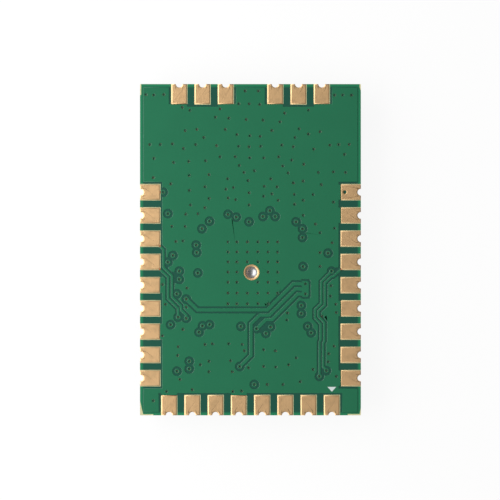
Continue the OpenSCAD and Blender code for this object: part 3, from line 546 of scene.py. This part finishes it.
def round_shoulder(piece, level, width, drops, foot_level=None, lip=0.0):
    """In edit mode, gives the selected plateau a rim that runs down in rings, the outermost first.

    Where the wall under the rim ends on foot_level, or anywhere if that is None, the rings take the given
    drops. Elsewhere the rim is that of an opening, and takes shares of the lip instead.
    """
    openings = set()
    for number, drop in enumerate(drops):
        inset(width / len(drops))
        work = bmesh.from_edit_mesh(piece.data)
        work.verts.ensure_lookup_table()
        rim = rim_of_selection(piece, level)
        flank, opening = [], []
        for index in rim:
            point = work.verts[index]
            if foot_level is None:
                flank.append(index)
            elif number == 0:
                foot = foot_under(point)
                (flank if foot is not None and abs(foot - foot_level) < WELD else opening).append(index)
            else:
                beside = {edge.other_vert(point).index for edge in point.link_edges}
                (opening if beside & openings else flank).append(index)
        openings = set(opening)
        lower(piece, flank, drop)
        if opening and lip:
            lower(piece, opening, lip * drop / drops[0])


def drop_overturned(piece, level):
    """In edit mode, cuts the selected faces into triangles and deletes those turned over above a level."""
    bpy.ops.mesh.quads_convert_to_tris(quad_method="BEAUTY", ngon_method="BEAUTY")
    select_faces(piece, lambda face: face.normal.z < -0.3 and face.calc_center_median().z > level)
    bpy.ops.mesh.delete(type="ONLY_FACE")


def settle(piece, smooth_angle):
    """Leaves edit mode with clean, outward faces and soft shading under an angle."""
    bpy.ops.mesh.select_mode(type="VERT")
    bpy.ops.mesh.select_all(action="SELECT")
    bpy.ops.mesh.remove_doubles(threshold=WELD)
    bpy.ops.mesh.select_all(action="SELECT")
    bpy.ops.mesh.normals_make_consistent(inside=False)
    bpy.ops.object.mode_set(mode="OBJECT")
    activate(piece)
    bpy.ops.object.shade_smooth_by_angle(angle=math.radians(smooth_angle))


def flatten_shading(piece, levels):
    """Shades upward faces softly, but exactly level at the given heights, and every other face flat."""
    mesh = piece.data
    slopes = [Vector() for point in mesh.vertices]
    for face in mesh.polygons:
        if 0.2 < face.normal.z < 0.9999:
            for index in face.vertices:
                slopes[index] += face.normal * face.area
    up = Vector((0, 0, 1))
    normals = []
    for face in mesh.polygons:
        for index in face.vertices:
            level = any(abs(mesh.vertices[index].co.z - height) < WELD for height in levels)
            if face.normal.z < 0.2:
                normals.append(face.normal.copy())
            elif level or slopes[index].length == 0:
                normals.append(up)
            else:
                normals.append(slopes[index].normalized())
    mesh.normals_split_custom_set(normals)


def hand_over(piece, slot, *nodes):
    """Gives a piece its finish, lets it ride on the module and puts it in the place of CAD nodes."""
    piece.data.materials.clear()
    piece.data.materials.append(finish_of(slot))
    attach(piece, "root")
    if nodes:
        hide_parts(*nodes)


def joined(copies, name):
    """Several pieces joined into one."""
    bpy.ops.object.select_all(action="DESELECT")
    for copy in copies:
        copy.select_set(True)
    bpy.context.view_layer.objects.active = copies[0]
    bpy.ops.object.join()
    piece = bpy.context.active_object
    piece.name = piece.data.name = name
    return piece


def middles_of(node):
    """Middle of each separate solid of a CAD node, seen from above."""
    work = bmesh.new()
    work.from_mesh(NODES[node].data)
    bmesh.ops.remove_doubles(work, verts=work.verts, dist=WELD)
    seen = set()
    middles = []
    for start in work.verts:
        if start in seen:
            continue
        seen.add(start)
        found = [start]
        for point in found:
            beside = [edge.other_vert(point) for edge in point.link_edges]
            fresh = [other for other in beside if other not in seen]
            seen.update(fresh)
            found.extend(fresh)
        low = Vector((min(point.co.x for point in found), min(point.co.y for point in found)))
        high = Vector((max(point.co.x for point in found), max(point.co.y for point in found)))
        middles.append((low + high) / 2)
    work.free()
    return middles


# ---------------------------------------------------------------------------
# Pieces
# ---------------------------------------------------------------------------


class MODULE_OT_solder_mask(bpy.types.Operator):
    """Model the green mask with soft slopes over every copper edge"""

    bl_idname = "module.solder_mask"
    bl_label = "Solder Mask"

    def execute(self, context):
        sizes = context.scene.module_sizes
        mask = merged_copy("pad_side_solder_mask", "solder_mask_film")
        work = bmesh.from_edit_mesh(mask.data)
        heights = sorted({round(point.co.z, 7) for point in work.verts})
        floor_top = heights[1]
        top = MASK_HIGH.z
        select_faces(mask, lambda face: face.normal.z > 0.99 and face.calc_center_median().z > top - WELD)
        drop = top - floor_top
        drops = [share * drop for share in MASK_RINGS]
        round_shoulder(mask, top, sizes.mask_slope, drops, floor_top, sizes.mask_lip)
        drop_overturned(mask, (PAD_TOP + top) / 2)
        settle(mask, smooth_angle=50)
        flatten_shading(mask, (floor_top, top))
        hand_over(mask, "green_mask", "pad_side_solder_mask")
        return {"FINISHED"}


class MODULE_OT_via_dimples(bpy.types.Operator):
    """Fill every via with mask ink that has sagged into a dimple"""

    bl_idname = "module.via_dimples"
    bl_label = "Via Dimples"

    def execute(self, context):
        sizes = context.scene.module_sizes
        depth = sizes.via_depth
        rim = MASK_HIGH.z - sizes.mask_lip
        bottom = rim - 1.5 * depth
        bpy.ops.object.select_all(action="DESELECT")
        bpy.ops.mesh.primitive_cylinder_add(
            vertices=sizes.via_sides,
            radius=sizes.via_radius,
            depth=rim - bottom,
            location=(0, 0, (rim + bottom) / 2),
        )
        bpy.ops.object.transform_apply(location=True, rotation=True, scale=True)
        dimple = context.active_object
        bpy.ops.object.mode_set(mode="EDIT")
        select_faces(dimple, lambda face: face.normal.z > 0.99)
        for width_share, depth_share in DIMPLE_RINGS:
            bpy.ops.mesh.inset(thickness=width_share * sizes.via_radius, depth=0, use_even_offset=True)
            bpy.ops.transform.translate(value=(0, 0, -depth_share * depth))
        bpy.ops.object.mode_set(mode="OBJECT")
        copies = []
        for middle in middles_of("via_barrels"):
            copy = bpy.data.objects.new("dimple", dimple.data.copy())
            copy.data.transform(Matrix.Translation((middle.x, middle.y, 0)))
            context.scene.collection.objects.link(copy)
            copies.append(copy)
        bpy.data.objects.remove(dimple)
        dimples = joined(copies, "via_dimples")
        bpy.ops.object.shade_smooth_by_angle(angle=math.radians(70))
        hand_over(dimples, "green_mask")
        return {"FINISHED"}


class MODULE_OT_edge_pads(bpy.types.Operator):
    """Model the gold edge pads with rounded rims and notch lips"""

    bl_idname = "module.edge_pads"
    bl_label = "Edge Pads"

    def execute(self, context):
        sizes = context.scene.module_sizes
        drops = [share * sizes.pad_drop for share in PAD_RINGS]
        for node in EDGE_PADS:
            pads = merged_copy(node, node + "_gold")
            select_faces(
                pads, lambda face: face.normal.z > 0.99 and face.calc_center_median().z > PAD_TOP - WELD
            )
            round_shoulder(pads, PAD_TOP, sizes.pad_slope, drops)
            settle(pads, smooth_angle=40)
            flatten_shading(pads, (PAD_TOP,))
            hand_over(pads, "gold_plating", node)
        return {"FINISHED"}


class MODULE_OT_centre_hole(bpy.types.Operator):
    """Model the plated centre hole with its rounded lip and the solder in it"""

    bl_idname = "module.centre_hole"
    bl_label = "Centre Hole"

    def execute(self, context):
        sizes = context.scene.module_sizes
        ring = merged_copy("centre_hole_barrel", "centre_hole_lip")
        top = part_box("centre_hole_barrel")[1].z
        select_faces(ring, lambda face: face.normal.z > 0.99 and face.calc_center_median().z > top - WELD)
        drops = [share * sizes.pad_drop for share in HOLE_RINGS]
        round_shoulder(ring, top, sizes.ring_slope, drops)
        settle(ring, smooth_angle=60)
        flatten_shading(ring, (top,))
        hand_over(ring, "gold_plating", "centre_hole_barrel")

        plug = merged_copy("centre_solder_plug", "centre_solder_face")
        settle(plug, smooth_angle=40)
        hand_over(plug, "solder", "centre_solder_plug")
        return {"FINISHED"}


class MODULE_OT_shield_can(bpy.types.Operator):
    """Model the folded shield with softened sheet edges and bends"""

    bl_idname = "module.shield_can"
    bl_label = "Shield Can"

    def execute(self, context):
        sizes = context.scene.module_sizes
        for node, name in (("shield_cover", "shield_cover_sheet"), ("shield_frame", "shield_frame_sheet")):
            sheet = merged_copy(node, name)
            settle(sheet, smooth_angle=30)
            rounding = sheet.modifiers.new("Cut edges", "BEVEL")
            rounding.width = sizes.sheet_edge
            rounding.segments = 2
            rounding.limit_method = "ANGLE"
            rounding.angle_limit = math.radians(40)
            rounding.use_clamp_overlap = True
            bpy.ops.object.modifier_apply(modifier=rounding.name)
            bpy.ops.object.shade_smooth_by_angle(angle=math.radians(40))
            hand_over(sheet, "shield_metal", node)
        return {"FINISHED"}


class MODULE_OT_carried_parts(bpy.types.Operator):
    """Give every part that keeps its construction's shape its finish"""

    bl_idname = "module.carried_parts"
    bl_label = "Carried Parts"

    def execute(self, context):
        slots = {
            "board_core": "laminate",
            "ground_copper": "bare_copper",
            "signal_traces": "bare_copper",
            "via_lands": "bare_copper",
            "via_barrels": "bare_copper",
            "component_side_copper": "bare_copper",
            "component_side_solder_mask": "green_mask",
            "pin_one_mark": "white_ink",
            "shield_frame_solder": "solder",
            "solder_joints": "solder",
            "wifi_chip_body": "chip_resin",
            "wifi_chip_contacts": "tinned_contact",
            "wifi_chip_thermal_pad": "tinned_contact",
            "crystal_base": "dark_ceramic",
            "crystal_contacts": "gold_plating",
            "crystal_lid": "shield_metal",
            "front_end_bodies": "chip_resin",
            "front_end_contacts": "gold_plating",
            "antenna_filter_bodies": "white_ceramic",
            "power_inductor_bodies": "dark_ceramic",
            "radio_coil_bodies": "blue_ceramic",
            "capacitor_bodies": "tan_ceramic",
            "resistor_bodies": "chip_resin",
        }
        slots.update({f"{part}_terminals": "tinned_contact" for part in TWO_ENDED})
        for node, slot in slots.items():
            materials = NODES[node].data.materials
            materials.clear()
            materials.append(finish_of(slot))
        return {"FINISHED"}


# ---------------------------------------------------------------------------
# Stage
# ---------------------------------------------------------------------------

FLOOR_GREY = 0.86
FLOOR_GLOW = 1.03
FLOOR_GLOW_SHARE = 0.86

# The room that gloss sees, from its right side to its left: where it changes and how bright it is.
GLOSS_SIDES = (0.5, -0.7)
GLOSS_STRENGTHS = (0.16, 0.75)


def white_floor():
    """Floor that looks white to the camera and to gloss, and keeps a soft shadow."""
    paint = Paint("stage_floor")
    tree = paint.tree
    paint.finish(Base_Color=(FLOOR_GREY, FLOOR_GREY, FLOOR_GREY), Roughness=0.9)
    path = tree.nodes.new("ShaderNodeLightPath")
    glow = tree.nodes.new("ShaderNodeEmission")
    glow.inputs["Strength"].default_value = FLOOR_GLOW
    blend = tree.nodes.new("ShaderNodeMixShader")
    seen = Value(paint, path.outputs["Is Camera Ray"])
    seen = seen.math("MAXIMUM", Value(paint, path.outputs["Is Glossy Ray"]))
    seen = seen.math("MAXIMUM", Value(paint, path.outputs["Is Transmission Ray"]))
    paint.feed(blend.inputs[0], seen * FLOOR_GLOW_SHARE)
    tree.links.new(paint.surface.outputs[0], blend.inputs[1])
    tree.links.new(glow.outputs[0], blend.inputs[2])
    tree.links.new(blend.outputs[0], tree.nodes["Material Output"].inputs["Surface"])
    return paint.material


def room(strength):
    """World: white behind the object, and for gloss bright to the left and dim above and to the right."""
    world = bpy.data.worlds.new("stage_room")
    world.use_nodes = True
    tree = world.node_tree
    tree.nodes.clear()
    nodes, links = tree.nodes, tree.links

    def add(kind, **settings):
        """Adds a node to the world with its settings."""
        made = nodes.new(kind)
        for setting, value in settings.items():
            setattr(made, setting, value)
        return made

    path = add("ShaderNodeLightPath")
    place = add("ShaderNodeTexCoord")
    split = add("ShaderNodeSeparateXYZ")
    links.new(place.outputs["Generated"], split.inputs[0])
    side = add("ShaderNodeMapRange", interpolation_type="SMOOTHSTEP")
    side.inputs["From Min"].default_value, side.inputs["From Max"].default_value = GLOSS_SIDES
    side.inputs["To Min"].default_value, side.inputs["To Max"].default_value = GLOSS_STRENGTHS
    links.new(split.outputs["X"], side.inputs["Value"])
    plain = add("ShaderNodeBackground")
    plain.inputs["Strength"].default_value = strength
    gloss = add("ShaderNodeBackground")
    links.new(side.outputs[0], gloss.inputs["Strength"])
    white = add("ShaderNodeBackground")
    white.inputs["Strength"].default_value = 1.0
    for background in (plain, gloss, white):
        background.inputs["Color"].default_value = (1, 1, 1, 1)
    to_gloss = add("ShaderNodeMixShader")
    links.new(path.outputs["Is Glossy Ray"], to_gloss.inputs[0])
    links.new(plain.outputs[0], to_gloss.inputs[1])
    links.new(gloss.outputs[0], to_gloss.inputs[2])
    to_camera = add("ShaderNodeMixShader")
    links.new(path.outputs["Is Camera Ray"], to_camera.inputs[0])
    links.new(to_gloss.outputs[0], to_camera.inputs[1])
    links.new(white.outputs[0], to_camera.inputs[2])
    output = add("ShaderNodeOutputWorld")
    links.new(to_camera.outputs[0], output.inputs["Surface"])
    return world


def soft_light(name, place, aim, width, height, power, tint):
    """Rectangular lamp at a place, turned to an aim."""
    lamp = bpy.data.lights.new(name, "AREA")
    lamp.shape = "RECTANGLE"
    lamp.size = width
    lamp.size_y = height
    lamp.energy = power
    lamp.color = tint
    light = bpy.data.objects.new(name, lamp)
    light.location = place
    light.rotation_mode = "QUATERNION"
    light.rotation_quaternion = (Vector(aim) - Vector(place)).to_track_quat("-Z", "Y")
    light.visible_camera = False
    bpy.context.scene.collection.objects.link(light)
    return light


class MODULE_OT_stage(bpy.types.Operator):
    """Set up the floor, the light and the camera that looks straight down"""

    bl_idname = "module.stage"
    bl_label = "Stage"

    def execute(self, context):
        stage = context.scene.module_stage
        scene = context.scene
        bpy.ops.object.select_all(action="DESELECT")
        bpy.ops.mesh.primitive_plane_add(size=4, location=(0, 0, CAD_BOX[0][2]))
        floor = context.active_object
        floor.name = "stage_floor"
        floor.data.materials.append(white_floor())

        scene.world = room(stage.room_light)
        soft_light(
            "side_light",
            place=(-52 * MM, 6 * MM, 42 * MM),
            aim=(0, 0, 4 * MM),
            width=120 * MM,
            height=70 * MM,
            power=stage.side_light,
            tint=(1.0, 1.0, 1.0),
        )

        camera = bpy.data.objects.new("camera", bpy.data.cameras.new("camera"))
        camera.data.sensor_width = 36
        camera.data.lens = camera.data.sensor_width * stage.camera_height / stage.view_width
        camera.data.clip_start = 0.01
        camera.data.clip_end = 10
        camera.location = (stage.camera_x, stage.camera_y, PAD_TOP + stage.camera_height)
        scene.collection.objects.link(camera)
        scene.camera = camera
        scene.view_settings.view_transform = "Standard"
        return {"FINISHED"}


# ---------------------------------------------------------------------------
# Add-on
# ---------------------------------------------------------------------------


class MODULE_PT_panel(bpy.types.Panel):
    """Panel with every step of the finish"""

    bl_label = "Radio Module"
    bl_idname = "MODULE_PT_panel"
    bl_space_type = "VIEW_3D"
    bl_region_type = "UI"
    bl_category = "Module"

    def draw(self, context):
        layout = self.layout
        for step in STEPS:
            layout.operator(step.bl_idname)
        for title, group in (
            ("Sizes", context.scene.module_sizes),
            ("Colours", context.scene.module_colours),
            ("Stage", context.scene.module_stage),
        ):
            box = layout.box()
            box.label(text=title)
            for name in group.__annotations__:
                box.prop(group, name)


STEPS = (
    MODULE_OT_stage,
    MODULE_OT_carried_parts,
    MODULE_OT_solder_mask,
    MODULE_OT_via_dimples,
    MODULE_OT_edge_pads,
    MODULE_OT_centre_hole,
    MODULE_OT_shield_can,
)
GROUPS = {"module_sizes": ModuleSizes, "module_colours": ModuleColours, "module_stage": ModuleStage}
CLASSES = (*GROUPS.values(), *STEPS, MODULE_PT_panel)


def register():
    for cls in CLASSES:
        bpy.utils.register_class(cls)
    for name, group in GROUPS.items():
        setattr(bpy.types.Scene, name, PointerProperty(type=group))


def unregister():
    for name in GROUPS:
        delattr(bpy.types.Scene, name)
    for cls in reversed(CLASSES):
        bpy.utils.unregister_class(cls)


def main():
    register()
    bpy.ops.module.stage()
    bpy.ops.module.carried_parts()
    bpy.ops.module.solder_mask()
    bpy.ops.module.via_dimples()
    bpy.ops.module.edge_pads()
    bpy.ops.module.centre_hole()
    bpy.ops.module.shield_can()


if __name__ == "__main__":
    main()
